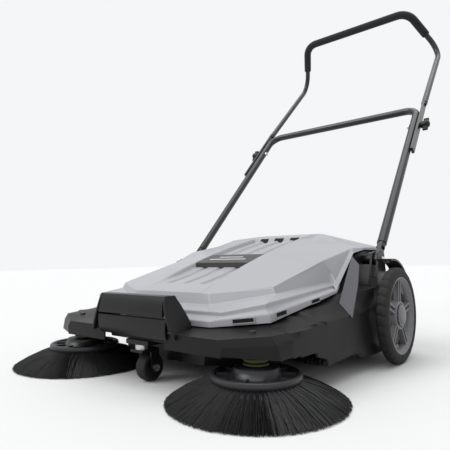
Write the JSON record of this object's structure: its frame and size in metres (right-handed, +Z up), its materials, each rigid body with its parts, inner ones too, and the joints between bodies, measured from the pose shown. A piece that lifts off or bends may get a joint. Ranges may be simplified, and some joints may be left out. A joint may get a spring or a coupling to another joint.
{
  "type": "walk-behind sweeper",
  "caption": "Manual walk-behind floor sweeper with side brushes, a geared roller brush, a lift-off dirt container and a folding push handle.",
  "frame": {"origin": "middle of the machine's bounding box on the floor", "axes": "+Z up, -Y the way the machine travels (+Y towards the operator), +X the operator's left"},
  "size_m": [0.7504, 1.2609, 1.0941],
  "materials": {
    "hood_grey": "satin",
    "black_plastic": "satin",
    "chassis_black": "satin",
    "slate_plastic": "satin",
    "rim_grey": "satin",
    "tyre_rubber": "matt",
    "bristle": "matt fibres",
    "steel": "bright",
    "nylon": "satin",
    "green_plastic": "satin",
    "green_belt": "satin",
    "brush_plastic": "satin",
    "handle_black": "powder coat",
    "foam": "matt foam"
  },
  "bodies": {
    "chassis": {"chassis_shell": "chassis_black", "carry_handle": "black_plastic", "front_panel": "chassis_black", "side_frame_left": "chassis_black", "side_frame_right": "chassis_black", "wheel_axle": "steel", "axle_hangers": "chassis_black", "handle_bracket_left": "black_plastic", "handle_bracket_right": "black_plastic", "side_gusset_left": "slate_plastic", "side_gusset_right": "slate_plastic", "pivot_bolts": "steel", "rear_flap": "tyre_rubber", "caster_mount": "black_plastic", "spindle_bosses": "black_plastic", "drive_belt_left": "green_belt", "drive_belt_right": "green_belt", "roller_bushes": "nylon", "wheel_bushes": "nylon", "fairing_screws": "steel"},
    "hopper": {"hood_cover": "hood_grey", "hood_badge": "hood_grey", "vent_insert": "black_plastic", "dirt_tub": "black_plastic"},
    "roller": {"roller_core": "black_plastic", "roller_bristles": "bristle", "roller_shaft": "steel", "roller_pinion": "nylon"},
    "wheel_left": {"wheel_rim_left": "rim_grey", "tyre_left": "tyre_rubber", "hub_cap_left": "black_plastic", "drive_sleeve_left": "nylon", "belt_pulley_left": "green_plastic", "drive_gear": "nylon"},
    "wheel_right": {"wheel_rim_right": "rim_grey", "tyre_right": "tyre_rubber", "hub_cap_right": "black_plastic", "drive_sleeve_right": "nylon", "belt_pulley_right": "green_plastic"},
    "brush_left": {"brush_disc_left": "brush_plastic", "brush_bristles_left": "bristle", "brush_spindle_left": "steel", "brush_pulley_left": "green_plastic"},
    "brush_right": {"brush_disc_right": "brush_plastic", "brush_bristles_right": "bristle", "brush_spindle_right": "steel", "brush_pulley_right": "green_plastic"},
    "caster": {"caster_fork": "black_plastic", "caster_stem": "steel", "caster_bolt": "steel"},
    "caster_roller": {"caster_wheel": "black_plastic", "caster_tyre": "tyre_rubber"},
    "lower_handle_frame": {"lower_handle": "handle_black", "leg_ends": "handle_black", "clamp_bolts": "steel"},
    "upper_handle_frame": {"upper_handle": "handle_black", "upper_ends": "handle_black", "grip_foam": "foam"},
    "knob_left": {"clamp_knob_left": "black_plastic"},
    "knob_right": {"clamp_knob_right": "black_plastic"}
  },
  "joints": [
    {"name": "hopper_lift", "type": "slide", "parent": "chassis", "child": "hopper", "axis": [0, 0, 1], "range_m": [0, 0.25]},
    {"name": "wheel_left_spin", "type": "hinge", "parent": "chassis", "child": "wheel_left", "pos_m": [0, -0.0979, 0.1], "axis": [1, 0, 0], "continuous": true},
    {"name": "wheel_right_spin", "type": "hinge", "parent": "chassis", "child": "wheel_right", "pos_m": [0, -0.0979, 0.1], "axis": [1, 0, 0], "continuous": true},
    {"name": "roller_spin", "type": "hinge", "parent": "chassis", "child": "roller", "pos_m": [0, -0.21104, 0.06], "axis": [1, 0, 0], "continuous": true},
    {"name": "brush_left_spin", "type": "hinge", "parent": "chassis", "child": "brush_left", "pos_m": [0.2297, -0.4849, 0.04], "axis": [0, 0, 1], "continuous": true},
    {"name": "brush_right_spin", "type": "hinge", "parent": "chassis", "child": "brush_right", "pos_m": [-0.2297, -0.4849, 0.04], "axis": [0, 0, 1], "continuous": true},
    {"name": "caster_swivel", "type": "hinge", "parent": "chassis", "child": "caster", "pos_m": [0, -0.5189, 0.065], "axis": [0, 0, 1], "continuous": true},
    {"name": "caster_roll", "type": "hinge", "parent": "caster", "child": "caster_roller", "pos_m": [0, -0.5009, 0.026], "axis": [1, 0, 0], "continuous": true},
    {"name": "handle_tilt", "type": "hinge", "parent": "chassis", "child": "lower_handle_frame", "pos_m": [0, -0.0789, 0.217], "axis": [1, 0, 0], "range_deg": [0, 40]},
    {"name": "handle_fold", "type": "hinge", "parent": "lower_handle_frame", "child": "upper_handle_frame", "pos_m": [0, 0.28489, 0.60454], "axis": [1, 0, 0], "range_deg": [0, 145]},
    {"name": "knob_left_turn", "type": "hinge", "parent": "lower_handle_frame", "child": "knob_left", "pos_m": [0.3, 0.28489, 0.60454], "axis": [1, 0, 0], "continuous": true},
    {"name": "knob_right_turn", "type": "hinge", "parent": "lower_handle_frame", "child": "knob_right", "pos_m": [-0.3, 0.28489, 0.60454], "axis": [1, 0, 0], "continuous": true}
  ],
  "couplings": [
    {"joint": "roller_spin", "follows": "wheel_left_spin", "ratio": -1.6667},
    {"joint": "brush_left_spin", "follows": "wheel_left_spin", "ratio": -2.4},
    {"joint": "brush_right_spin", "follows": "wheel_right_spin", "ratio": 2.4}
  ]
}
